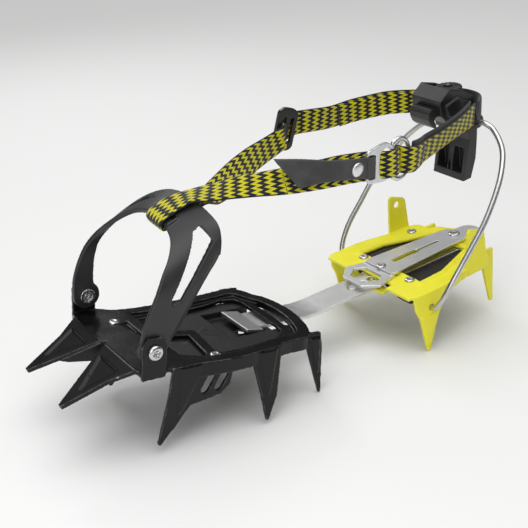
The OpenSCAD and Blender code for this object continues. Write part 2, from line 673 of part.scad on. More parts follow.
module strap_near_front() color(webbing) stand() band(rows_smooth(near_front), strap_w, strap_t);
module strap_far_front() color(webbing) stand() band(rows_smooth(far_front), strap_w, strap_t);
module strap_near_rear() color(webbing) stand() band(rows_smooth(near_rear), strap_w, strap_t);
module strap_far_rear() color(webbing) stand() band(rows_smooth(far_rear), strap_w, strap_t);
module strap_lever_loop() color(webbing) stand() band(rows_smooth(lever_loop), strap_w - 4, strap_t);

module pull_tab() {
    rows = [[77, -40.8, 130.6, 66], [84.3, -43, 131.6, 70], [95.2, -45.4, 131.4, 76],
        [110.4, -47.3, 131.3, 82], [127, -48.9, 130.4, 86]];
    color("dimgray") stand() band(rows_smooth(rows), 13, 1.4);
}

module pull_tab_rivet() {
    color(steel) stand() translate([115.6, -49.8, 130.8]) rotate([96, 0, 6]) rivet_head(3.4, 1.6);
}

// A flat buckle ring: a round-cornered frame of bar around an opening
module ring(w, h, r) {
    corners = [[-w / 2, -h / 2], [w / 2, -h / 2], [w / 2, h / 2], [-w / 2, h / 2]];
    for (i = [0 : 3]) {
        a = corners[i];
        b = corners[(i + 1) % 4];
        rod([a[0], a[1], 0], [b[0], b[1], 0], r);
        translate([a[0], a[1], 0]) sphere(r);
    }
}

ring_r = 1.2;
module ring_front() color(steel) stand() translate([136.2, -49.8, 130.6]) rotate([88, 0, 4])
    ring(13, 17, ring_r);
module ring_rear() color(steel) stand() translate([146, -46, 130.4]) rotate([88, 0, 6])
    ring(12, 19.5, ring_r);
module strap_slider() color(plastic) stand() translate([133.5, 42, 128.6]) rotate([90, 0, -8])
    ring(8.6, 19, 1.4);

// ---- Output --------------------------------------------------------------------------

front_plate();
front_antiball_plate();
front_rivets();
bail_screws();
bail_nuts();
toe_bail();
link_bar();
heel_plate();
heel_antiball_plate();
heel_rivets();
adjuster_base();
adjuster_lever();
adjuster_pin();
adjuster_rivet();
wire_bail();
lever_body();
lever_pad();
thumbwheel();
adjusting_screw();
strap_toe_loop();
strap_near_front();
strap_far_front();
strap_near_rear();
strap_far_rear();
strap_lever_loop();
pull_tab();
pull_tab_rivet();
ring_front();
ring_rear();
strap_slider();
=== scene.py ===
"""Looks for a twelve-point walking crampon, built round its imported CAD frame.

Lengths are in millimetres until a mesh is made; a mesh holds metres, in the row frame. The places below are the
same frames that the CAD uses: the whole crampon stands tilted back a little, and each unit sits in it.
"""

import math

import bmesh
import bpy
import numpy as np
from mathutils import Matrix, Vector


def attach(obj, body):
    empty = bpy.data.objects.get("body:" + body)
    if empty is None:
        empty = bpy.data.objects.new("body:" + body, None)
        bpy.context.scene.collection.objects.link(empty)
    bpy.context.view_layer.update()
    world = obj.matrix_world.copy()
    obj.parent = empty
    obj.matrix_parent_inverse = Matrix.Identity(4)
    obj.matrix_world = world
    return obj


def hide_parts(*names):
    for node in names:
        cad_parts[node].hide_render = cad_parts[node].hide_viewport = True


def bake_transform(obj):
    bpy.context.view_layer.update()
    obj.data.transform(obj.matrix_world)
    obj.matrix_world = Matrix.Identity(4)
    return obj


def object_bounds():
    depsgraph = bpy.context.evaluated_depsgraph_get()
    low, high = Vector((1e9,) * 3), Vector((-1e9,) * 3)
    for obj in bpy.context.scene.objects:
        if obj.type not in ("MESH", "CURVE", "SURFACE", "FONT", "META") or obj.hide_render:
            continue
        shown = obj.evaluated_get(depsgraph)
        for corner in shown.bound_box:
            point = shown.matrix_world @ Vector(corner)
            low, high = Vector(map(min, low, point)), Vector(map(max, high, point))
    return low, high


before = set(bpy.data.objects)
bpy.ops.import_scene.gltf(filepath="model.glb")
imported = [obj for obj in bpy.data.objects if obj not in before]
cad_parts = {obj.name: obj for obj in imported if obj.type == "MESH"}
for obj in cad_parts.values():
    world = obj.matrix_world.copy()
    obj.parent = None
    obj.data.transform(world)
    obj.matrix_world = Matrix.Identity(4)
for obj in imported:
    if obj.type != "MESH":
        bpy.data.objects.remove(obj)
cad_low, cad_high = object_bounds()
scene = bpy.context.scene


def move(x, y, z):
    return Matrix.Translation((x, y, z))


def turn(axis, degrees):
    return Matrix.Rotation(math.radians(degrees), 4, axis)


METRES = Matrix.Scale(0.001, 4)
STAND = move(-108.9, 0, 5.02) @ turn("Y", 2.75)
FRONT = STAND @ move(0, 0, 43.7) @ turn("Y", 3.55)
HEEL = STAND @ move(180.5, 0, 42.8) @ turn("Y", -8.58)
BAIL = FRONT @ move(-0.7, 0, 10.7) @ turn("Y", -3.55)
LIP = BAIL @ move(22.2, -7.25, 54.75) @ turn("Y", -24) @ turn("X", 8.6)
LEVER = HEEL @ move(69.5, 0, 78.5)
BAIL_WALL = 2.7
STRAP_W = 14.6
STRAP_T = 1.6
STITCH_LIFT = STRAP_T / 2 + 0.02


# ---- Materials ----------------------------------------------------------------


class Shade:
    """One principled material and short calls that add nodes to it."""

    def __init__(self, name, colour, roughness, metallic=0.0, coat=0.0, specular=0.5):
        self.mat = bpy.data.materials.new(name)
        self.mat.use_nodes = True
        self.tree = self.mat.node_tree
        self.bsdf = self.tree.nodes["Principled BSDF"]
        self.set(self.bsdf, {"Base Color": (*colour, 1), "Roughness": roughness, "Metallic": metallic,
                             "Coat Weight": coat, "Specular IOR Level": specular})
        self.height = None

    def set(self, node, values):
        """Links sockets and sets plain values by input name or number."""
        for key, value in values.items():
            if isinstance(value, bpy.types.NodeSocket):
                self.tree.links.new(value, node.inputs[key])
            else:
                node.inputs[key].default_value = value

    def add(self, kind, values=None, **settings):
        node = self.tree.nodes.new(kind)
        for key, value in settings.items():
            setattr(node, key, value)
        self.set(node, values or {})
        return node

    def math(self, operation, a, b=0.0, c=0.0, clamp=False):
        node = self.add("ShaderNodeMath", {0: a, 1: b, 2: c}, operation=operation, use_clamp=clamp)
        return node.outputs[0]

    def mix(self, factor, a, b):
        node = self.add("ShaderNodeMix", {0: factor, 6: a, 7: b}, data_type="RGBA")
        return node.outputs[2]

    def ramp(self, value, low, high, out_low=0.0, out_high=1.0):
        node = self.add("ShaderNodeMapRange", {"Value": value, "From Min": low, "From Max": high,
                                               "To Min": out_low, "To Max": out_high}, clamp=True)
        return node.outputs[0]

    def place(self, scale=(1, 1, 1), turned=(0, 0, 0)):
        """The surface's own coordinates in metres, stretched along its axes."""
        point = self.add("ShaderNodeTexCoord").outputs["Object"]
        return self.add("ShaderNodeMapping", {"Vector": point, "Scale": scale, "Rotation": turned}).outputs[0]

    def noise(self, scale, detail=3.0, stretch=(1, 1, 1), turned=(0, 0, 0)):
        node = self.add("ShaderNodeTexNoise", {"Vector": self.place(stretch, turned), "Scale": scale,
                                               "Detail": detail})
        return node.outputs["Fac"]

    def cells(self, scale):
        return self.add("ShaderNodeTexVoronoi", {"Vector": self.place(), "Scale": scale}).outputs["Distance"]

    def edges(self, low, high):
        """How sharp an outward edge is, from 0 to 1."""
        point = self.add("ShaderNodeNewGeometry").outputs["Pointiness"]
        return self.ramp(point, low, high)

    def cloth(self):
        """Millimetres along and across a webbing, from the mesh's cloth attribute."""
        cloth = self.add("ShaderNodeAttribute", attribute_name="cloth").outputs["Vector"]
        parts = self.add("ShaderNodeSeparateXYZ", {0: cloth})
        return parts.outputs[0], parts.outputs[1]

    def bump(self, value, distance, strength=1.0):
        values = {"Height": value, "Distance": distance, "Strength": strength}
        if self.height is not None:
            values["Normal"] = self.height
        self.height = self.add("ShaderNodeBump", values).outputs[0]
        self.set(self.bsdf, {"Normal": self.height})

    def out(self, **values):
        """Sets the shader's inputs, named with underscores, and gives the material."""
        self.set(self.bsdf, {key.replace("_", " "): value for key, value in values.items()})
        return self.mat


def painted_steel(name, colour, worn, bare_metal_and_highlight, roughness, wear_and_highlight):
    """Powder-coated steel whose sharp edges turn to unpainted metal: partly worn-through paint, partly a painted
    highlight.
    """
    s = Shade(name, colour, roughness, specular=0.3)
    cloud = s.noise(60, 4)
    # The edge mask: partly worn-through paint, partly a painted highlight where light catches the sharp edges.
    edge = s.math("MULTIPLY", s.edges(0.525, 0.60), s.ramp(s.noise(220, 5), 0.36, 0.58), clamp=True)
    edge = s.math("MULTIPLY", edge, wear_and_highlight)
    tone = s.mix(s.ramp(cloud, 0.35, 0.65), (*colour, 1), (*worn, 1))
    s.bump(s.noise(2600, 2), 0.00004, 0.35)
    s.bump(s.noise(420, 3), 0.00010, 0.25)
    return s.out(Base_Color=s.mix(edge, tone, (*bare_metal_and_highlight, 1)), Metallic=edge,
                 Roughness=s.ramp(cloud, 0.3, 0.7, roughness - 0.05, roughness + 0.08))


def bare_steel(name, colour, roughness, grain, turned=(0, 0, 0), tarnish=0.75, depth=0.00003):
    """Stainless or aluminium with a drawn grain; grain is how the noise is stretched along X, Y and Z."""
    s = Shade(name, colour, roughness, metallic=1.0)
    lines = s.noise(2200, 4, grain, turned)
    cloud = s.noise(90, 3)
    dull = tuple(c * tarnish for c in colour)
    s.bump(lines, depth, 0.5)
    rough = s.math("ADD", s.ramp(lines, 0.3, 0.7, roughness - 0.06, roughness + 0.08),
                   s.ramp(cloud, 0.35, 0.7, -0.03, 0.05))
    return s.out(Base_Color=s.mix(s.ramp(cloud, 0.4, 0.75, 0.0, 0.6), (*colour, 1), (*dull, 1)), Roughness=rough)


def moulded(name, colour, edge_highlight, roughness, grain=1800, depth=0.00006):
    """Moulded plastic with a fine spark-eroded grain, paler at its sharp edges as a painted highlight."""
    s = Shade(name, colour, roughness)
    s.bump(s.cells(grain), depth, 0.5)
    s.bump(s.noise(300, 3), 0.00012, 0.2)
    cloud = s.noise(75, 4)
    # Painted highlight: the sharp edges are made paler.
    edge = s.math("MULTIPLY", s.edges(0.52, 0.60), s.ramp(cloud, 0.3, 0.6))
    return s.out(Base_Color=s.mix(edge, (*colour, 1), (*edge_highlight, 1)),
                 Roughness=s.ramp(cloud, 0.3, 0.7, roughness - 0.06, roughness + 0.08))


YELLOW = (0.78, 0.72, 0.012)
FADED = (0.55, 0.50, 0.01)
NAVY = (0.008, 0.009, 0.020)
# The zigzag: from stripe to stripe, from tooth to tooth, a tooth's length, and where the plain border starts
PITCH = 6.8
TOOTH = 2.68
SWING = 3.3
SELVEDGE = 7.1
# Whole-pattern shifts that keep a coordinate above zero
ACROSS_SHIFT = 40.0
ALONG_SHIFT = 600 * PITCH


def webbing(name):
    """Woven webbing with zigzag stripes that run across it."""
    s = Shade(name, NAVY, 0.75, specular=0.25)
    along, across = s.cloth()
    fray = s.ramp(s.noise(900, 2), 0.2, 0.8, -0.22, 0.22)
    zig = s.math("PINGPONG", s.math("ADD", across, ACROSS_SHIFT), TOOTH / 2)
    shifted = s.math("ADD", s.math("MULTIPLY_ADD", zig, 2 * SWING / TOOTH, along), fray)
    phase = s.math("FRACT", s.math("DIVIDE", s.math("ADD", shifted, ALONG_SHIFT), PITCH))
    stripe = s.math("MULTIPLY", s.ramp(phase, 0.0, 0.05), s.ramp(phase, 0.50, 0.45))
    inside = s.ramp(s.math("ABSOLUTE", across), SELVEDGE - 0.1, SELVEDGE - 0.35)
    stripe = s.math("MULTIPLY", stripe, inside)
    # Threads: warp floats run along the webbing, and each pick crosses them
    warp = s.math("PINGPONG", s.math("ADD", across, ACROSS_SHIFT), 0.3)
    pick = s.math("PINGPONG", s.math("MULTIPLY_ADD", s.math("PINGPONG", across, 0.6), 0.5, along), 0.42)
    weave = s.math("MULTIPLY", s.ramp(warp, 0.0, 0.3), s.ramp(pick, 0.0, 0.3, 0.4, 1.0))
    # Painted shadow: the colour is darkened in the hollows between the threads.
    painted_weave_shade = s.ramp(weave, 0.0, 0.6, 0.55, 1.0)
    tone = s.mix(s.ramp(s.noise(260, 4), 0.3, 0.7, 0.0, 0.35), (*YELLOW, 1), (*FADED, 1))
    colour = s.mix(stripe, (*NAVY, 1), tone)
    dark = s.add("ShaderNodeMix", {0: 1.0, 6: colour, 7: s.add("ShaderNodeCombineColor", {
        0: painted_weave_shade, 1: painted_weave_shade, 2: painted_weave_shade}).outputs[0]}, data_type="RGBA", blend_type="MULTIPLY").outputs[2]
    s.bump(weave, 0.00022, 0.6)
    s.bump(s.noise(5000, 2), 0.00004, 0.5)
    s.set(s.bsdf, {"Sheen Weight": 0.25, "Sheen Roughness": 0.5})
    return s.out(Base_Color=dark)


def woven_plain(name, colour, roughness=0.85):
    """Plain black binding tape."""
    s = Shade(name, colour, roughness, specular=0.3)
    along, across = s.cloth()
    warp = s.math("PINGPONG", s.math("ADD", across, ACROSS_SHIFT), 0.3)
    pick = s.math("PINGPONG", s.math("ADD", along, ACROSS_SHIFT), 0.4)
    weave = s.math("MULTIPLY", s.ramp(warp, 0.0, 0.3), s.ramp(pick, 0.0, 0.4, 0.3, 1.0))
    s.bump(weave, 0.00020, 0.6)
    # Painted highlight and painted shadow: the threads' crowns are made lighter than the hollows between them.
    light = tuple(min(1, c * 2.2) for c in colour)
    s.set(s.bsdf, {"Sheen Weight": 0.3})
    return s.out(Base_Color=s.mix(s.ramp(weave, 0.1, 0.8), (*colour, 1), (*light, 1)))


def rubbery(name, colour, roughness):
    """Coated synthetic leather: a fine pebbled grain."""
    s = Shade(name, colour, roughness)
    s.bump(s.cells(1500), 0.00008, 0.5)
    cloud = s.noise(110, 4)
    pale = tuple(c * 1.5 for c in colour)
    return s.out(Base_Color=s.mix(s.ramp(cloud, 0.35, 0.7), (*colour, 1), (*pale, 1)),
                 Roughness=s.ramp(cloud, 0.3, 0.7, roughness - 0.05, roughness + 0.1))


# Each painted steel's third colour fills its sharp edges: unpainted metal that also serves as a painted highlight.
BLACK_STEEL = painted_steel("black_steel", (0.0045, 0.0045, 0.005), (0.006, 0.006, 0.0065),
                            (0.34, 0.34, 0.35), 0.23, 0.8)
LIME_STEEL = painted_steel("lime_steel", (0.90, 0.84, 0.035), (0.92, 0.87, 0.055), (0.92, 0.90, 0.45), 0.38, 0.5)
BAR_STEEL = bare_steel("bar_steel", (0.76, 0.76, 0.76), 0.42, (0.04, 1, 1))
LEVER_STEEL = bare_steel("lever_steel", (0.82, 0.82, 0.825), 0.42, (0.05, 1, 1))
WIRE_STEEL = bare_steel("wire_steel", (0.58, 0.58, 0.59), 0.33, (0.4, 0.4, 0.4), tarnish=0.9, depth=0.000004)
RING_STEEL = bare_steel("ring_steel", (0.72, 0.73, 0.74), 0.3, (0.5, 0.5, 0.5), tarnish=0.88)
RIVET_STEEL = bare_steel("rivet_steel", (0.62, 0.62, 0.63), 0.26, (0.6, 0.6, 0.6))
DARK_STEEL = bare_steel("dark_steel", (0.10, 0.10, 0.105), 0.35, (0.6, 0.6, 0.6))
# Each moulded plastic's second colour is the painted highlight on its sharp edges.
BAIL_PLASTIC = moulded("bail_plastic", (0.022, 0.022, 0.024), (0.11, 0.11, 0.115), 0.42)
PLATE_PLASTIC = moulded("plate_plastic", (0.010, 0.010, 0.011), (0.05, 0.05, 0.052), 0.48, 1200, 0.0001)
LEVER_PLASTIC = moulded("lever_plastic", (0.018, 0.018, 0.019), (0.08, 0.08, 0.082), 0.36)
SLIDER_PLASTIC = moulded("slider_plastic", (0.012, 0.012, 0.013), (0.07, 0.07, 0.072), 0.3)
WEBBING = webbing("zigzag_webbing")
TAPE = woven_plain("black_tape", (0.007, 0.007, 0.009))
THREAD = woven_plain("grey_thread", (0.10, 0.10, 0.105), 0.7)
TAB_LEATHER = rubbery("tab_leather", (0.042, 0.042, 0.044), 0.5)


# ---- Mesh making ----------------------------------------------------------------


def finish_piece(obj, material, body, replaced=()):
    """Gives a piece its material, smooth shading and body, and the CAD nodes it stands in for."""
    obj.data.materials.clear()
    obj.data.materials.append(material)
    for p in obj.data.polygons:
        p.use_smooth = True
    if body:
        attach(obj, body)
    if replaced:
        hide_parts(*replaced)
    return obj


def linked(name, data):
    obj = bpy.data.objects.new(name, data)
    scene.collection.objects.link(obj)
    return obj


def edit_mesh(mesh, *steps):
    """Runs bmesh steps on a mesh."""
    bm = bmesh.new()
    bm.from_mesh(mesh)
    for step in steps:
        step(bm)
    bm.to_mesh(mesh)
    bm.free()


def outwards(bm):
    bmesh.ops.recalc_face_normals(bm, faces=bm.faces)


def new_object(name, verts, faces, place, cloth=None):
    """A mesh from millimetre points in one of the frames, its faces turned outwards."""
    matrix = METRES @ place
    mesh = bpy.data.meshes.new(name)
    mesh.from_pydata([matrix @ Vector(v) for v in verts], [], faces)
    if cloth is not None:
        layer = mesh.attributes.new("cloth", "FLOAT_VECTOR", "POINT")
        layer.data.foreach_set("vector", [x for c in cloth for x in c])
    edit_mesh(mesh, outwards)
    return linked(name, mesh)


def apply_modifiers(obj):
    """Makes the modified mesh the object's own."""
    bpy.context.view_layer.update()
    graph = bpy.context.evaluated_depsgraph_get()
    mesh = bpy.data.meshes.new_from_object(obj.evaluated_get(graph))
    obj.modifiers.clear()
    obj.data = mesh
    return obj


def soften(obj, voxel, passes):
    """Rounds every edge: a fine remesh, then smoothing."""
    remesh = obj.modifiers.new("remesh", "REMESH")
    remesh.mode = "VOXEL"
    remesh.voxel_size = voxel * 0.001
    remesh.use_smooth_shade = True
    smooth = obj.modifiers.new("smooth", "SMOOTH")
    smooth.factor = 0.5
    smooth.iterations = passes
    return apply_modifiers(obj)


def join_parts(parts):
    """One mesh from several (verts, faces) lists, all in the same frame."""
    verts, faces = [], []
    for v, f in parts:
        base = len(verts)
        verts += v
        faces += [[i + base for i in face] for face in f]
    return verts, faces


def from_node(node, name, voxel, passes):
    """A rounded copy of a CAD node's mesh."""
    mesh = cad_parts[node].data.copy()
    mesh.name = name
    edit_mesh(mesh, lambda bm: bmesh.ops.remove_doubles(bm, verts=bm.verts, dist=1e-6))
    return soften(linked(name, mesh), voxel, passes)


def ring_faces(rings, n):
    """The faces between rings of n points each."""
    return [[i * n + k, i * n + (k + 1) % n, (i + 1) * n + (k + 1) % n, (i + 1) * n + k]
            for i in range(rings - 1) for k in range(n)]


def end_caps(rings, n):
    """The faces that close the first and the last ring."""
    last = (rings - 1) * n
    return [list(range(n - 1, -1, -1)), [last + k for k in range(n)]]


def closed_faces(order, n):
    """The faces of a ring-shaped solid whose section goes round through rings of n points in this order."""
    return [[a * n + k, a * n + (k + 1) % n, b * n + (k + 1) % n, b * n + k]
            for a, b in zip(order, order[1:] + order[:1]) for k in range(n)]


def band_faces(rings, across):
    """The faces of a band whose rings go across its upper side and back across its lower side."""
    n = 2 * (across + 1)
    last = (rings - 1) * n
    return ring_faces(rings, n) + [face for k in range(across) for face in (
        [k, n - 1 - k, n - 2 - k, k + 1], [last + k, last + k + 1, last + n - 2 - k, last + n - 1 - k])]


def placed(part, matrix):
    """A part's points moved by a matrix."""
    verts, faces = part
    return [tuple(matrix @ Vector(v)) for v in verts], faces


def lathe(profile, n=48, lobes=None):
    """A solid of revolution about Z from (radius, height) points; lobes wave the radius of the rings named."""
    verts = []
    for i, (r, z) in enumerate(profile):
        for k in range(n):
            a = 2 * math.pi * k / n
            q = r * (1 + lobes[1] * math.cos(6 * a)) if lobes and i >= lobes[0] else r
            verts.append((q * math.cos(a), q * math.sin(a), z))
    return verts, ring_faces(len(profile), n) + end_caps(len(profile), n)


def prism(outline, low, high):
    """A flat outline given thickness along Z."""
    n = len(outline)
    verts = [(x, y, low) for x, y in outline] + [(x, y, high) for x, y in outline]
    return verts, ring_faces(2, n) + end_caps(2, n)


def rectangle(x0, x1, y0, y1):
    return [(x0, y0), (x1, y0), (x1, y1), (x0, y1)]


def unit(v):
    return v / np.linalg.norm(v)


def directions(path):
    """The unit tangents of a path's points."""
    tangent = np.gradient(path, axis=0)
    return tangent / np.linalg.norm(tangent, axis=1)[:, None]


def curve_through(points, per_mm, fine_steps=60):
    """Points evenly spaced on a smooth curve through the given rows, with any further columns carried along."""
    p = np.array(points, float)
    steps = np.linalg.norm(np.diff(p[:, :3], axis=0), axis=1)
    knots = np.concatenate([[0], np.cumsum(np.sqrt(steps))])
    tangents = np.zeros_like(p)
    for i in range(len(p)):
        a, b = max(i - 1, 0), min(i + 1, len(p) - 1)
        tangents[i] = (p[b] - p[a]) / (knots[b] - knots[a])
    fine, marks = [], []
    for i in range(len(p) - 1):
        h = knots[i + 1] - knots[i]
        t = np.linspace(0, 1, fine_steps, endpoint=False)[:, None]
        fine.append((2 * t**3 - 3 * t**2 + 1) * p[i] + (t**3 - 2 * t**2 + t) * h * tangents[i]
                    + (3 * t**2 - 2 * t**3) * p[i + 1] + (t**3 - t**2) * h * tangents[i + 1])
        marks.append(i * fine_steps)
    fine = np.vstack([*fine, p[-1:]])
    marks.append(len(fine) - 1)
    length = np.concatenate([[0], np.cumsum(np.linalg.norm(np.diff(fine[:, :3], axis=0), axis=1))])
    wanted = np.arange(0, length[-1], 1 / per_mm)
    wanted = np.append(wanted, length[-1])
    out = np.stack([np.interp(wanted, length, fine[:, k]) for k in range(p.shape[1])], axis=1)
    return out, wanted, [length[m] for m in marks]


def tube(points, radius, n, per_mm):
    """A round wire along points in one frame."""
    path, _, _ = curve_through(points, per_mm)
    tangent = directions(path)
    side = unit(np.cross(tangent[0], [0.13, 0.21, 1.0]))
    verts = []
    for p, t in zip(path, tangent):
        side = unit(side - t * (side @ t))
        up = np.cross(t, side)
        verts += [tuple(p + radius * (math.cos(a) * side + math.sin(a) * up))
                  for a in (2 * math.pi * k / n for k in range(n))]
    return verts, ring_faces(len(path), n) + end_caps(len(path), n)


# ---- Webbing ------------------------------------------------------------------------


def band_side(p, q, roll):
    """The way across a band that goes from p to q; roll 0 lies flat and 90 stands on edge."""
    d = unit(np.array(q, float) - np.array(p, float))
    s = unit(np.cross([0, 0, 1], d))
    u = np.cross(d, s)
    a = math.radians(roll)
    return math.cos(a) * s + math.sin(a) * u


def rows_to_route(rows):
    """Rows of x, y, z and roll as rows of point and side."""
    route = []
    for i, r in enumerate(rows):
        a, b = rows[max(i - 1, 0)], rows[min(i + 1, len(rows) - 1)]
        route.append([*r[:3], *band_side(a[:3], b[:3], r[3])])
    return route


class Route:
    """A webbing's centreline and its way across, sampled finely."""

    def __init__(self, controls, per_mm=2.4, along_from=0.0):
        self.rows, self.along, self.marks = curve_through(controls, per_mm)
        self.tangent = directions(self.rows[:, :3])
        side = self.rows[:, 3:6]
        side = side - self.tangent * np.sum(side * self.tangent, axis=1)[:, None]
        self.side = side / np.linalg.norm(side, axis=1)[:, None]
        self.normal = np.cross(self.tangent, self.side)
        self.shift = along_from

    def at(self, mark):
        """How far along a control mark is."""
        return float(np.interp(mark, range(len(self.marks)), self.marks))

    def sample(self, u, *columns):
        return (np.array([np.interp(u, self.along, m[:, k]) for k in range(3)]) for m in columns)

    def piece(self, name, start, end, width=STRAP_W, thick=STRAP_T, lift=0.0, slide=0.0, across=26):
        """The band between two control marks. lift moves it off along its normal, slide along its width."""
        a, b = self.at(start), self.at(end)
        keep = [a, *self.along[(self.along > a + 0.05) & (self.along < b - 0.05)], b]
        verts, cloth = [], []
        for u in keep:
            c, s, n = self.sample(u, self.rows, self.side, self.normal)
            wave = 0.05 * math.sin(2 * math.pi * u / (PITCH / 4))
            for top in (1, -1):
                for k in range(across + 1):
                    f = (k / across * 2 - 1) * top
                    v = f * width / 2
                    body = (1 - abs(f) ** 7) ** 0.5
                    rib = 0.045 * math.cos(2 * math.pi * v / 1.3) + wave
                    h = top * (thick / 2 * (0.22 + 0.78 * body) + rib * body)
                    verts.append(tuple(c + n * (h + lift) + s * (v + slide)))
                    cloth.append((u + self.shift, v, float(top)))
        return new_object(name, verts, band_faces(len(keep), across), STAND, cloth)

    def point(self, mark):
        """The row-frame point, in metres, at a control mark."""
        p, = self.sample(self.at(mark), self.rows)
        return METRES @ STAND @ Vector(p)

    def run(self, name, start, end, bodies, between, replaced=(), material=WEBBING, **shape):
        """A length of webbing between two marks, left with no body; bodies and between are not used."""
        band = self.piece(name, start, end, **shape)
        self.blend(finish_piece(band, material, None, replaced))

    def blend(self, obj):
        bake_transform(obj)

    def stitches(self, name, spots, length):
        """Short thread stitches at (mm along, mm across, degrees) spots, lying on the band's face."""
        parts = []
        for u, v, angle in spots:
            c, t, s, n = self.sample(u, self.rows, self.tangent, self.side, self.normal)
            d = math.cos(math.radians(angle)) * t + math.sin(math.radians(angle)) * s
            arc = [c + s * v + d * length * f + n * (STITCH_LIFT + 0.16 * math.cos(math.pi * f))
                   for f in (-0.5, -0.25, 0, 0.25, 0.5)]
            parts.append(tube(arc, 0.2, 8, 4.0))
        verts, faces = join_parts(parts)
        obj = new_object(name, verts, faces, STAND, [(v[0], v[2], 0) for v in verts])
        self.blend(finish_piece(obj, THREAD, None))


# Rows of x, y, z and roll in the standing frame
near_front = [[40.5, -11, 118.6, 12], [47.5, -17, 120.6, 20], [57, -25, 123.6, 30], [67, -32, 125.6, 38],
              [78.4, -38, 127, 48], [96.8, -42.6, 128.8, 64], [110.5, -44.6, 129.9, 78]]
near_ring = [[125.6, -46.5, 130.0, 85], [129.4, -48.4, 130.1, 86], [132.2, -51.2, 130.2, 86],
             [136.6, -51.9, 130.2, 86], [141.6, -50.4, 130.2, 86], [144.2, -46.8, 130.2, 86],
             [144.9, -43.4, 130.2, 86]]
far_front = [[44.6, -6, 112.2, -8], [56, 1, 110.4, 12], [72, 12, 111.9, 34], [86.3, 22, 114.1, 52],
             [101.3, 30, 117.1, 68], [115.8, 36.5, 119.4, 82], [126, 39.2, 122.2, 90], [129.6, 38.7, 124.2, 92],
             [131.7, 40.2, 125.4, 92], [132.5, 43.8, 125.9, 92]]
near_rear = [[146.4, -43.0, 129.8, 88], [147.2, -46.6, 129.7, 88], [150.4, -48.9, 129.5, 90],
             [155.6, -48.6, 129.3, 92], [162.4, -45.2, 129.4, 96], [169.3, -41, 129.8, 100],
             [185.8, -35.5, 132.2, 106], [208.1, -27, 135.4, 104], [226, -19, 137.8, 92]]
far_rear = [[131.8, 44.9, 126.6, 92], [137, 44.8, 128.8, 93], [143, 44.3, 130.5, 94], [150, 43.2, 130.9, 96],
            [167.9, 43.5, 130.9, 98], [182.5, 42.5, 133.3, 98], [197.3, 39.5, 135.4, 98],
            [208.7, 34, 137.3, 100], [226, 19.6, 139, 102]]
lever_loop = [[228, -18.2, 138.2, 82], [234, -16, 139.8, 86], [240, -9, 141.6, 88], [241.4, 0, 142, 90],
              [240, 9, 141.6, 92], [234, 16, 140.6, 94], [228, 18.4, 139.6, 98]]


def lip_route():
    """Round the bail's front lip, from its top to its underside, as point and side in the standing frame."""
    over = 0.95 + STRAP_T / 2
    under = -BAIL_WALL - over
    line = [(10, over), (3, over), (-0.6, over - 0.3), (-2.3, 0.1), (-2.5, -1.4), (-2.1, under + 0.9),
            (-0.4, under + 0.1), (3, under), (10, under)]
    to_stand = STAND.inverted() @ LIP
    side = np.array(to_stand.to_3x3() @ Vector((0, 1, 0)))
    return [[*(to_stand @ Vector((x, 0, z))), *side] for x, z in line]


# From the buckle ring over the arch, round its lip and back beneath it to the slider
lip = lip_route()
toe_strap = Route(rows_to_route(near_front + near_ring)[::-1] + lip + rows_to_route(far_front))
END = len(near_ring)
LIP_AT = END + len(near_front)
FAR = LIP_AT + len(lip)
SLIDE_AT = FAR + 6
BAR_TO_HEEL, FRONT_TO_BAR, BAIL_TO_FRONT = (("link_bar", "heel_section"), ("front_section", "link_bar"),
                                            ("toe_bail", "front_section"))
toe_strap.run("near_strap_buckle_run", 0, END + 2, BAR_TO_HEEL, (END + 2, END), ["strap_near_front"])
toe_strap.run("near_strap_middle_run", END + 2, END + 3.5, FRONT_TO_BAR, (END + 3.5, END + 2))
toe_strap.run("near_strap_toe_run", END + 3.5, LIP_AT - 1, BAIL_TO_FRONT, (LIP_AT - 1, END + 3.5))
finish_piece(toe_strap.piece("lip_strap_loop", LIP_AT - 1, FAR), WEBBING, "toe_bail", ["strap_toe_loop"])
toe_strap.run("far_strap_toe_run", FAR, FAR + 2, BAIL_TO_FRONT, (FAR, FAR + 2))
toe_strap.run("far_strap_middle_run", FAR + 2, FAR + 3, FRONT_TO_BAR, (FAR + 2, FAR + 3))
toe_strap.run("far_strap_slider_run", FAR + 3, FAR + 9, BAR_TO_HEEL, (FAR + 3, SLIDE_AT), ["strap_far_front"])
# The second layer under the outer strap, which runs back from the buckle as a doubled end
toe_strap.run("near_strap_under_layer", END - 0.8, END + 2, BAR_TO_HEEL, (END + 2, END),
              width=STRAP_W - 1.2, thick=1.1, lift=-1.45, slide=-1.3)

# From the rear ring to the lever along the outer side, with a tape behind it
outer_strap = Route(rows_to_route(near_rear), along_from=3.1)
O_MID, O_END = 6, 8
HEEL_TO_WIRE, WIRE_TO_LEVER = ("heel_section", "wire_bail"), ("wire_bail", "heel_lever")
OUTER_FRONT, OUTER_BACK = (3, O_MID), (O_MID, O_END)
outer_strap.run("outer_rear_strap", 0, O_MID, HEEL_TO_WIRE, OUTER_FRONT, ["strap_near_rear"])
outer_strap.run("outer_lever_strap", O_MID, O_END, WIRE_TO_LEVER, OUTER_BACK)
behind = {"material": TAPE, "width": STRAP_W - 1.0, "thick": 1.2, "lift": -1.5, "slide": 3.0}
outer_strap.run("outer_rear_tape", 2.6, O_MID, HEEL_TO_WIRE, OUTER_FRONT, **behind)
outer_strap.run("outer_lever_tape", O_MID, O_END - 0.2, WIRE_TO_LEVER, OUTER_BACK, **behind)

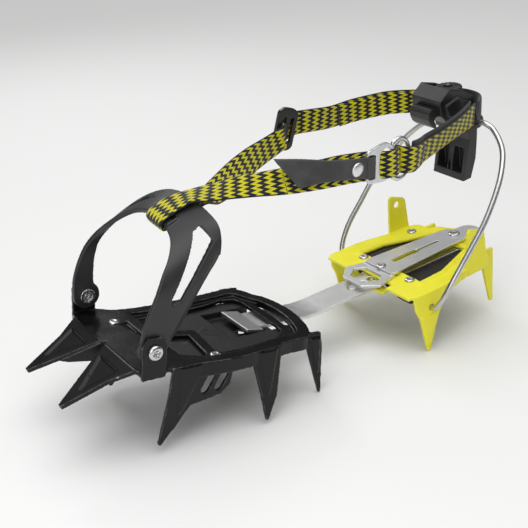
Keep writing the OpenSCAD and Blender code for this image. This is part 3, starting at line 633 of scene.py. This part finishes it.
# From the slider to the lever along the inner side
inner_strap = Route(rows_to_route(far_rear), along_from=1.7)
I_MID, I_END = 5, 8
inner_strap.run("inner_rear_strap", 0, I_MID, HEEL_TO_WIRE, (2, I_MID), ["strap_far_rear"])
inner_strap.run("inner_lever_strap", I_MID, I_END, WIRE_TO_LEVER, (I_MID, I_END))
inner_strap.run("inner_doubled_end", I_MID - 0.6, I_END, WIRE_TO_LEVER, (I_MID, I_END),
                width=STRAP_W - 0.8, thick=1.2, lift=1.5, slide=-0.6)
loop_band = Route(rows_to_route(lever_loop)).piece("lever_strap_loop", 0, 6, width=STRAP_W - 4)
finish_piece(loop_band, TAPE, "heel_lever", ["strap_lever_loop"])


def bar_tack(route, mark, rows, columns, gap_u, gap_v):
    """Spots of a block of stitches that crosses a strap."""
    return [(route.at(mark) + (i - (columns - 1) / 2) * gap_u, (j - (rows - 1) / 2) * gap_v, 90)
            for i in range(columns) for j in range(rows)]


def seam(route, start, end, v=5.2, step=1.9):
    """Spots of a running seam between two marks, v off the strap's middle."""
    a, b = route.at(start), route.at(end)
    count = int((b - a) / step)
    return [(a + (b - a) * (k + 0.5) / count, v, 0) for k in range(count)]


outer_strap.stitches("outer_bar_tack", bar_tack(outer_strap, 4.15, 8, 3, 0.9, 1.5), 1.5)
outer_strap.stitches("outer_long_seam", seam(outer_strap, O_MID + 0.02, O_END - 0.35)
                     + bar_tack(outer_strap, O_END - 0.42, 7, 1, 1, 1.7), 1.4)
outer_strap.stitches("outer_front_seam", seam(outer_strap, 4.4, O_MID), 1.4)

# ---- Buckle, tab and slider -----------------------------------------------------------


def rounded(outline, radius, steps=4):
    """A closed outline with its corners cut to arcs."""
    out, n = [], len(outline)
    for i in range(n):
        p, a, b = (np.array(outline[k % n], float) for k in (i, i - 1, i + 1))
        r = min(radius, 0.45 * np.linalg.norm(a - p), 0.45 * np.linalg.norm(b - p))
        start, end = p + unit(a - p) * r, p + unit(b - p) * r
        for k in range(steps + 1):
            t = k / steps
            out.append(tuple((1 - t) ** 2 * start + 2 * t * (1 - t) * p + t * t * end))
    return out


def plate_with_hole(outer, inner, low, high, count=96):
    """A flat plate with one opening, both sampled by angle about the opening's middle."""
    middle = np.mean(np.array(inner), axis=0)

    def hit(loop, angle):
        d = np.array([math.cos(angle), math.sin(angle)])
        best = None
        for i in range(len(loop)):
            a, b = np.array(loop[i], float) - middle, np.array(loop[(i + 1) % len(loop)], float) - middle
            e = b - a
            den = d[0] * e[1] - d[1] * e[0]
            if abs(den) < 1e-9:
                continue
            t = (a[0] * e[1] - a[1] * e[0]) / den
            f = (a[0] * d[1] - a[1] * d[0]) / den
            if t > 0 and -1e-6 <= f <= 1 + 1e-6 and (best is None or t > best):
                best = t
        return tuple(middle + d * best)

    angles = [2 * math.pi * k / count for k in range(count)]
    out_ring, in_ring = [hit(outer, a) for a in angles], [hit(inner, a) for a in angles]
    verts = [(x, y, z) for ring, z in ((out_ring, low), (in_ring, low), (in_ring, high), (out_ring, high))
             for x, y in ring]
    return verts, closed_faces([0, 1, 2, 3], count)


def side_frame(x, y, z, tilt, spin):
    """A frame on the outer side: its X runs to the heel, its Y up and its Z towards the viewer's side."""
    return STAND @ move(x, y, z) @ turn("Z", spin) @ turn("X", 90 + tilt)


BUCKLE = side_frame(131.5, -49.8, 130.6, -2, 2)
plate_outline = rounded([(-10.8, 6.4), (-10.4, -8.2), (-8.8, -9.4), (0.6, -9.8), (6.2, -8.0), (8.4, -3), (8.4, 4.4),
                         (6.8, 8.8), (3.0, 11.2), (-1.6, 10.4), (-9.4, 7.8)], 1.6)
plate_window = rounded([(-1.9, 5.6), (-2.3, -0.6), (-1.7, -6.6), (1.6, -7.6), (5.0, -6.2), (6.6, -1.4), (6.6, 3.6),
                        (5.2, 7.2), (2.4, 8.9)], 1.6)
slot_left = rounded([(-9.6, 5.6), (-9.6, -7.0), (-4.9, -7.0), (-4.9, 5.6)], 0.6)


def cut_away(obj, cutter):
    """Takes a cutter's shape out of a piece, and removes the cutter."""
    cut = obj.modifiers.new("cut", "BOOLEAN")
    cut.operation, cut.solver, cut.object = "DIFFERENCE", "EXACT", cutter
    apply_modifiers(obj)
    bpy.data.objects.remove(cutter)
    return obj


def cut_hole(obj, outline, place, low, high):
    """Cuts a prism out of a piece."""
    return cut_away(obj, new_object("cutter", *prism(outline, low, high), place))


buckle = new_object("buckle_plate", *plate_with_hole(plate_outline, plate_window, -0.9, 0.9), BUCKLE)
cut_hole(buckle, slot_left, BUCKLE, -3, 3)
finish_piece(soften(buckle, 0.22, 4), RING_STEEL, "heel_section", ["ring_front"])
RING = side_frame(146, -46.2, 130.2, -2, 4)
ring_line = [(-4.6, -8.4, 0), (-5.0, 0, 0), (-4.6, 8.4, 0), (-2.4, 10.4, 0), (1.0, 11.0, 0), (5.0, 8.8, 0),
             (7.2, 4.0, 0), (7.6, 0, 0), (7.2, -4.4, 0), (5.0, -9.0, 0), (1.0, -10.8, 0), (-2.6, -10.2, 0),
             (-4.6, -8.4, 0), (-5.0, 0, 0)]
ring = soften(new_object("buckle_ring", *tube(ring_line, 1.25, 16, 2.0), RING), 0.22, 3)
finish_piece(ring, RING_STEEL, "heel_section", ["ring_rear"])

# The pull tab: wide at its slanted free end, folded round the buckle's narrow bar
tab_rows = rows_to_route([[71.8, -40.2, 130.6, 64], [84.3, -43.6, 131.2, 70], [95.2, -46.2, 131.2, 76],
                          [107, -48.9, 130.9, 82], [115, -50.5, 130.6, 86], [122, -51.4, 130.5, 88]])
tab_path = Route(tab_rows, 1.6)


def tab_leaf(thick=0.75, across=16, slant=22):
    """The tab's leaf, built as rows across the route; its lower part is cut back over the slant's length."""
    verts = []
    for u, c, n, s in zip(tab_path.along, tab_path.rows[:, :3], tab_path.normal, tab_path.side):
        narrowing = min(1, u / tab_path.along[-1] / 0.55)
        upper, lower = 9.4 - 3.9 * narrowing, -7.4 + 1.9 * narrowing
        for top in (1, -1):
            for k in range(across + 1):
                g = k / across if top > 0 else 1 - k / across
                cut = max(0.0, 11.0 * (1 - g) * (1 - u / slant)) if u < slant else 0.0
                h = thick * (0.45 if min(g, 1 - g) * across < 0.5 else 1.0) * top
                verts.append(tuple(c + n * h + s * (lower + (upper - lower) * g) + tab_path.tangent[0] * cut))
    return verts, band_faces(len(tab_path.along), across)


def tab_fold():
    """The tab's turn round the buckle's bar."""
    path, _, _ = curve_through([(-11.4, 0, 1.6), (-8.4, 0, 1.75), (-6.4, 0, 1.4), (-5.6, 0, 0), (-6.4, 0, -1.4),
                                (-11.4, 0, -1.7)], 3.0)
    verts = []
    for p, t in zip(path, directions(path)):
        n = np.cross(t, [0, 1, 0])
        verts += [tuple(p + n * h + np.array([0, v, 0]))
                  for h, v in ((0.6, -6.1), (0.6, 5.1), (-0.6, 5.1), (-0.6, -6.1))]
    return verts, ring_faces(len(path), 4) + end_caps(len(path), 4)


tab = soften(new_object("pull_tab_leaf", *tab_leaf(), STAND), 0.35, 4)
finish_piece(tab, TAB_LEATHER, "heel_section", ["pull_tab"])
tab_end = soften(new_object("pull_tab_fold", *tab_fold(), BUCKLE), 0.25, 3)
finish_piece(tab_end, TAB_LEATHER, "heel_section")
SNAP = STAND @ move(114.5, -51.0, 130.4) @ turn("Z", 6) @ turn("X", 96)
snap_profile = [(2.4, -0.6), (3.6, -0.4), (3.9, 0.2), (3.8, 0.7), (3.2, 1.15), (2.2, 1.45), (1.1, 1.58), (0.15, 1.6)]
snap = new_object("tab_snap", *lathe(snap_profile, 56), SNAP)
finish_piece(snap, LEVER_STEEL, "heel_section", ["pull_tab_rivet"])

# A three-bar slide: two windows with a middle bar
SLIDER = STAND @ move(133.5, 42, 128.6) @ turn("Z", -8) @ turn("X", 90) @ turn("Z", -12)
slider_frame = rounded([(-6.4, -10.2), (-3.4, -12.8), (3.6, -12.8), (6.4, -10.2), (6.4, 10.2), (3.6, 12.8),
                        (-3.4, 12.8), (-6.4, 10.2)], 1.8)
slider = new_object("strap_slide", *prism(slider_frame, -1.5, 1.5), SLIDER)
for x in (-2.0, 3.0):
    cut_hole(slider, rounded(rectangle(x - 1.2, x + 1.2, -7.4, 7.4), 0.6), SLIDER, -4, 4)
finish_piece(soften(slider, 0.25, 5), SLIDER_PLASTIC, "heel_section", ["strap_slider"])

# ---- Front unit -----------------------------------------------------------------------



def shell(node, name, voxel, passes, material, body):
    """A CAD node shown with rounded edges."""
    return finish_piece(from_node(node, name, voxel, passes), material, body, [node])


shell("front_plate", "front_plate_shell", 0.5, 4, BLACK_STEEL, "front_section")
shell("front_antiball_plate", "front_antiball_shell", 0.6, 4, PLATE_PLASTIC, "front_section")

# The bail's band runs from the outer end over the top to the inner end, between its front and its rear edge
bail_front = [[-7, -40.5, -2], [-5.8, -40.5, 5], [-3.8, -40.5, 12], [-0.3, -40.5, 20], [2.9, -40.4, 26],
              [5.5, -39.4, 31], [8.6, -37.2, 36], [12.4, -34.2, 40.6], [16.4, -30, 45.4], [19.4, -25, 49],
              [21, -19, 51.6], [22, -12, 53.8], [22.3, -4, 55.2], [22.3, 3, 55.2], [22, 10, 54.2],
              [20.6, 19, 51.6], [17.6, 26.6, 47.4], [12.6, 32.6, 42.2], [7, 36.8, 36.6], [2, 39.6, 30],
              [-1.6, 40.5, 23.6], [-4.6, 40.5, 17], [-7, 40.5, 9], [-7.6, 40.5, 0]]
bail_rear = [[7.6, -40.5, -2], [14, -40.5, 5], [19.5, -40.5, 12], [25, -40.5, 20.5], [29.8, -40.5, 27.6],
             [34.2, -40.5, 34], [38.6, -40.5, 40.3], [39.8, -40.4, 46], [40.4, -39.2, 51], [40.8, -36, 56],
             [40.8, -30.5, 58.8], [40.8, -21, 61], [40.8, -10, 62.8], [40.2, 1, 63.4], [38.6, 11, 62.2],
             [35.4, 21, 58.6], [30.4, 29, 53.4], [22.5, 34.2, 46.5], [14.6, 37.4, 39], [9.2, 39.8, 31],
             [6.8, 40.5, 23.6], [5.4, 40.5, 17], [4.6, 40.5, 9], [5.2, 40.5, 0]]
arm_window = [(11.6, 20.5), (16.5, 22), (36.7, 49.1), (34, 55), (30, 52.5), (11.6, 24)]


def bail_band(across=10):
    """The band as one solid, smooth along its length."""
    rows, _, _ = curve_through([[*a, *b] for a, b in zip(bail_front, bail_rear)], 1.0)
    verts = []
    for row, t in zip(rows, np.gradient((rows[:, :3] + rows[:, 3:]) / 2, axis=0)):
        a, b = row[:3], row[3:]
        n = unit(np.cross(t, b - a)) * BAIL_WALL
        line = [a + (b - a) * k / across for k in range(across + 1)]
        verts += [tuple(p) for p in line] + [tuple(p + n) for p in reversed(line)]
    return verts, band_faces(len(rows), across)


def on_band(row, share):
    """A point of the band's outer face, and its inward normal, at a row and a share from front to rear."""
    a, b, a2, b2 = (np.array([np.interp(at, range(len(edge)), [p[k] for p in edge]) for k in range(3)])
                    for at in (row, row + 0.5) for edge in (bail_front, bail_rear))
    return a + (b - a) * share, unit(np.cross((a2 + b2) / 2 - (a + b) / 2, b - a))


def absorb(obj, other):
    """Adds another object's mesh to a piece, and removes that object."""
    edit_mesh(obj.data, lambda bm: bm.from_mesh(other.data))
    bpy.data.objects.remove(other)


bail = new_object("toe_bail_shell", *bail_band(), BAIL)
cut_hole(bail, arm_window, BAIL @ turn("X", 90), 24, 44)
for side in (90, -90):
    cut_hole(bail, [(7 * math.cos(a), 7 * math.sin(a)) for a in np.linspace(0, 2 * math.pi, 40)[:-1]],
             BAIL @ turn("X", side), 30, 50)
cut_hole(bail, rectangle(3.6, 6.6, -10, 10), LIP, -6, 6)
# The near arm's rear edge is cut back to a bevel
cut_hole(bail, rectangle(0, 49, 0, 20),
         BAIL @ move(11, -40.6, 1.4) @ turn("Y", -54.6) @ turn("X", -63.4) @ move(0, -10, -18.5), 0, 20)
far_window = [on_band(*spot) for spot in ((14.2, 0.62), (15.2, 0.80), (16.4, 0.82), (17.7, 0.76), (17.9, 0.55),
                                          (16.6, 0.5), (15.4, 0.55))]
corners = [tuple(p + n * depth) for depth in (-4, 8) for p, n in far_window]
window_cutter = new_object("cutter", corners, ring_faces(2, len(far_window)) + end_caps(2, len(far_window)), BAIL)
edit_mesh(window_cutter.data, lambda bm: bmesh.ops.triangulate(bm, faces=bm.faces), outwards)
cut_away(bail, window_cutter)
for y0, y1 in ((-10.6, -9.1), (8.6, 10.0)):
    absorb(bail, new_object("slot_lip", *prism(rectangle(-0.4, 6.4, y0, y1), -2.0, 0.9), LIP))
BOSS_SIDES = 64
boss_verts, _ = lathe([(2.6, 37.7), (7.6, 37.7), (7.6, 40.6), (2.6, 40.6)], BOSS_SIDES)
boss = boss_verts, closed_faces([0, 1, 2, 3], BOSS_SIDES)
bosses = join_parts([placed(boss, turn("X", side)) for side in (90, -90)])
absorb(bail, new_object("bosses", *bosses, BAIL))
finish_piece(soften(bail, 0.42, 5), BAIL_PLASTIC, "toe_bail", ["toe_bail"])


def rivet(radius, height, under, shank=1.8):
    """A domed rivet head with a shallow ring, on its shank."""
    profile = [(shank, -under), (shank, -0.02), (radius * 0.97, 0.0), (radius, height * 0.22),
               (radius * 0.95, height * 0.5), (radius * 0.82, height * 0.78), (radius * 0.66, height * 0.92),
               (radius * 0.5, height), (radius * 0.42, height * 0.9), (radius * 0.3, height * 0.84),
               (0.1, height * 0.84)]
    return lathe(profile, 48)


def torx_screw(radius, height, under, shank):
    """A button-head screw with a six-lobed recess."""
    profile = [(shank, -under), (shank, -0.02), (radius * 0.98, 0.0), (radius, 0.35), (radius * 0.96, height * 0.55),
               (radius * 0.84, height * 0.85), (radius * 0.66, height), (radius * 0.46, height),
               (radius * 0.44, height * 0.9), (radius * 0.42, height * 0.15), (0.1, height * 0.05)]
    return lathe(profile, 72, lobes=(7, 0.17))


def fasteners(name, parts, place, body, replaced, material=RIVET_STEEL):
    """Several small lathed parts of one frame as one piece."""
    obj = new_object(name, *join_parts(parts), place)
    return finish_piece(obj, material, body, replaced)


front_rivets = ((38, -36, -2), (7, 20, 0))
rivet_tail = lathe([(0.1, 0), (2.4, 0), (3.0, 0.4), (3.0, 1.0), (1.7, 1.0)], 40)
fasteners("front_rivet_heads", [placed(rivet(3.1, 1.2, 8.0), move(*p)) for p in front_rivets]
          + [placed(rivet_tail, move(x, y, z - 8.6)) for x, y, z in front_rivets],
          FRONT, "front_section", ["front_rivets"])
screw_spots = [move(-0.7, -43.05, 10.7) @ turn("X", 90), move(-0.7, 43.05, 10.7) @ turn("X", -90)]
fasteners("bail_screw_heads", [placed(torx_screw(4.1, 2.1, 6.1, 2.45), m @ turn("Z", 14)) for m in screw_spots],
          FRONT, "front_section", ["bail_screws"])
shell("bail_nuts", "bail_nut_shell", 0.25, 3, RIVET_STEEL, "front_section")

# ---- Bar and heel unit --------------------------------------------------------------------

shell("link_bar", "link_bar_shell", 0.4, 3, BAR_STEEL, "link_bar")
shell("heel_plate", "heel_plate_shell", 0.45, 4, LIME_STEEL, "heel_section")
shell("heel_antiball_plate", "heel_antiball_shell", 0.6, 4, PLATE_PLASTIC, "heel_section")
fasteners("heel_rivet_heads", [placed(rivet(3.1, 1.25, 8.8), move(x, y, 0)) for x, y in
                               ((1.4, 21.9), (1.4, -21.9), (46, 27.3), (46, -27.3))],
          HEEL, "heel_section", ["heel_rivets"])
shell("adjuster_base", "adjuster_base_shell", 0.25, 3, LEVER_STEEL, "heel_section")
shell("adjuster_lever", "adjuster_lever_shell", 0.25, 3, LEVER_STEEL, "adjuster_lever")
fasteners("adjuster_pin_head", [placed(rivet(3.2, 1.15, 5.2, 2.15), move(-2.6, 0, 3.2))], HEEL, "adjuster_lever",
          ["adjuster_pin"])
fasteners("adjuster_rivet_head", [placed(rivet(3.8, 1.15, 1.6, 2.15), move(58, 0, 3.2))], HEEL, "adjuster_lever",
          ["adjuster_rivet"])

# ---- Heel bail and lever ----------------------------------------------------------------

bail_half = [(1.1, 35.4, -10.7), (1.1, 40.5, -10.7), (1.3, 44.4, -9.9), (4.4, 48.6, -2.4), (12, 50.6, 9),
             (24, 50.9, 22.2), (36.8, 50.4, 36.1), (52, 45.8, 52.2), (62, 39.4, 63), (67.6, 32.6, 69),
             (71, 23, 75.4), (69.9, 17.6, 78.2), (69.5, 14.5, 78.5)]
wire_line = [(x, -y, z) for x, y, z in bail_half] + [(69.5, 0, 78.5)] + bail_half[::-1]
wire = new_object("wire_bail_wire", *tube(wire_line, 1.7, 24, 1.4), HEEL)
finish_piece(wire, WIRE_STEEL, "wire_bail", ["wire_bail"])
shell("lever_body", "heel_lever_shell", 0.34, 4, LEVER_PLASTIC, "heel_lever")
jaw_line = [(-22, 8), (-21, 11), (-26, 14), (-29, 15.5), (-33.2, 15.8), (-35.2, 13.6), (-35.4, 9.5), (-33.8, 6.0),
            (-31.2, 3.6), (-29.6, 3.9), (-29.8, 5.8), (-31, 8.2), (-29.6, 10.2), (-26.5, 9.8)]
jaw_points = [(x, y, z) for y in (-8.4, 8.4) for x, z in jaw_line]
ledge = new_object("lever_ledge_shell", jaw_points, ring_faces(2, len(jaw_line)) + end_caps(2, len(jaw_line)), LEVER)
soften(ledge, 0.3, 8)
finish_piece(ledge, LEVER_PLASTIC, "heel_lever", ["lever_pad"])


def knurled_wheel(radius, height, ribs):
    """A serrated wheel with a crowned top, about Z."""
    n = ribs * 8
    hole = 1.6
    profile = [(radius - 1.4, 0.0), (radius - 0.1, 0.35), (radius, 0.8), (radius, height - 1.3),
               (radius - 0.5, height - 0.5), (radius - 1.8, height - 0.12), (radius - 3.4, height),
               (hole + 0.02, height + 0.02)]
    verts = []
    for r, z in profile:
        for k in range(n):
            a = 2 * math.pi * k / n
            grip = 0.55 * max(0.0, math.cos(ribs * a)) ** 0.6 if r > radius - 0.7 else 0.0
            verts.append(((r - 0.1 + grip) * math.cos(a), (r - 0.1 + grip) * math.sin(a), z))
    verts += [(hole * math.cos(2 * math.pi * k / n), hole * math.sin(2 * math.pi * k / n), 0.0) for k in range(n)]
    return verts, closed_faces(list(range(len(profile) + 1)), n)


wheel = new_object("thumbwheel_grip", *knurled_wheel(8.0, 5.6, 20), LEVER @ move(-12, 0, 17.9))
finish_piece(wheel, LEVER_PLASTIC, "thumbwheel", ["thumbwheel"])
screw = lathe([(1.3, 6), (1.5, 6.3), (1.5, 23.7), (2.6, 23.75), (2.6, 24.2), (2.1, 24.7), (1.2, 24.95), (1.0, 24.9),
               (0.9, 24.2), (0.1, 24.1)], 48)
fasteners("adjusting_screw_head", [screw], LEVER @ move(-12, 0, 0), "heel_lever", ["adjusting_screw"], DARK_STEEL)

# ---- Floor, light and camera ---------------------------------------------------------------

# The floor's half width, in metres, and the strength of the sky low down and overhead
FLOOR = 40.0
SKY_LOW, SKY_HIGH = 1.6, 25.0
floor_mesh = bpy.data.meshes.new("floor")
floor_mesh.from_pydata([(x, y, 0) for x, y in rectangle(-FLOOR, FLOOR, -FLOOR, FLOOR)], [], [[0, 1, 2, 3]])
floor = linked("floor", floor_mesh)
floor.location.z = min(0.0, cad_low.z) - 0.0002
floor_mesh.materials.append(Shade("paper", (0.90, 0.90, 0.895), 0.85).mat)

world = bpy.data.worlds.new("studio")
scene.world = world
world.use_nodes = True
sky = world.node_tree
rise = sky.nodes.new("ShaderNodeSeparateXYZ")
sky.links.new(sky.nodes.new("ShaderNodeTexCoord").outputs["Generated"], rise.inputs[0])
fade = sky.nodes.new("ShaderNodeMapRange")
fade.inputs["From Min"].default_value, fade.inputs["From Max"].default_value = 0.46, 0.98
fade.inputs["To Min"].default_value, fade.inputs["To Max"].default_value = SKY_LOW, SKY_HIGH
sky.links.new(rise.outputs["Z"], fade.inputs["Value"])
sky.links.new(fade.outputs[0], sky.nodes["Background"].inputs["Strength"])


def softbox(name, at, target, size, power):
    """A square area light that faces a point; places in millimetres in the row frame."""
    light = bpy.data.lights.new(name, "AREA")
    light.shape = "RECTANGLE"
    light.size, light.size_y = (s * 0.001 for s in size)
    light.energy = power
    obj = linked(name, light)
    place, aim = Vector(at) * 0.001, Vector(target) * 0.001
    obj.location = place
    obj.rotation_euler = (aim - place).to_track_quat("-Z", "Y").to_euler()


softbox("top_light", (-60, -160, 900), (0, 0, 60), (900, 700), 2.7)
softbox("side_light", (-700, -500, 420), (0, 0, 60), (420, 420), 2.2)
softbox("back_light", (150, 800, 620), (0, 0, 80), (300, 300), 1.2)

# The camera: lens in millimetres for a 36 mm sensor, a slight shift, and where it looks from
LENS = 67.50136
SHIFT = (0.0063712, -0.00042235)
AZIMUTH, ELEVATION, ROLL = 0.58072, 0.39015, 0.00485
TARGET = Vector((89.236, 0, 66.520))
DISTANCE = 555.449
look = Vector((math.sin(AZIMUTH) * math.cos(ELEVATION), math.cos(AZIMUTH) * math.cos(ELEVATION),
               -math.sin(ELEVATION)))
right = look.cross(Vector((0, 0, 1))).normalized()
up = right.cross(look)
right, up = (math.cos(ROLL) * right + math.sin(ROLL) * up, math.cos(ROLL) * up - math.sin(ROLL) * right)
axes = Matrix((right, up, -look)).transposed().to_4x4()
camera_data = bpy.data.cameras.new("camera")
camera_data.sensor_width = 36
camera_data.lens = LENS
camera_data.shift_x, camera_data.shift_y = SHIFT
camera_data.clip_start, camera_data.clip_end = 0.01, 30
camera = linked("camera", camera_data)
stand_turn = STAND.to_3x3().to_4x4()
camera.matrix_world = move(*(METRES @ STAND @ (TARGET - look * DISTANCE))) @ stand_turn @ axes
scene.camera = camera
scene.view_settings.view_transform = "Standard"
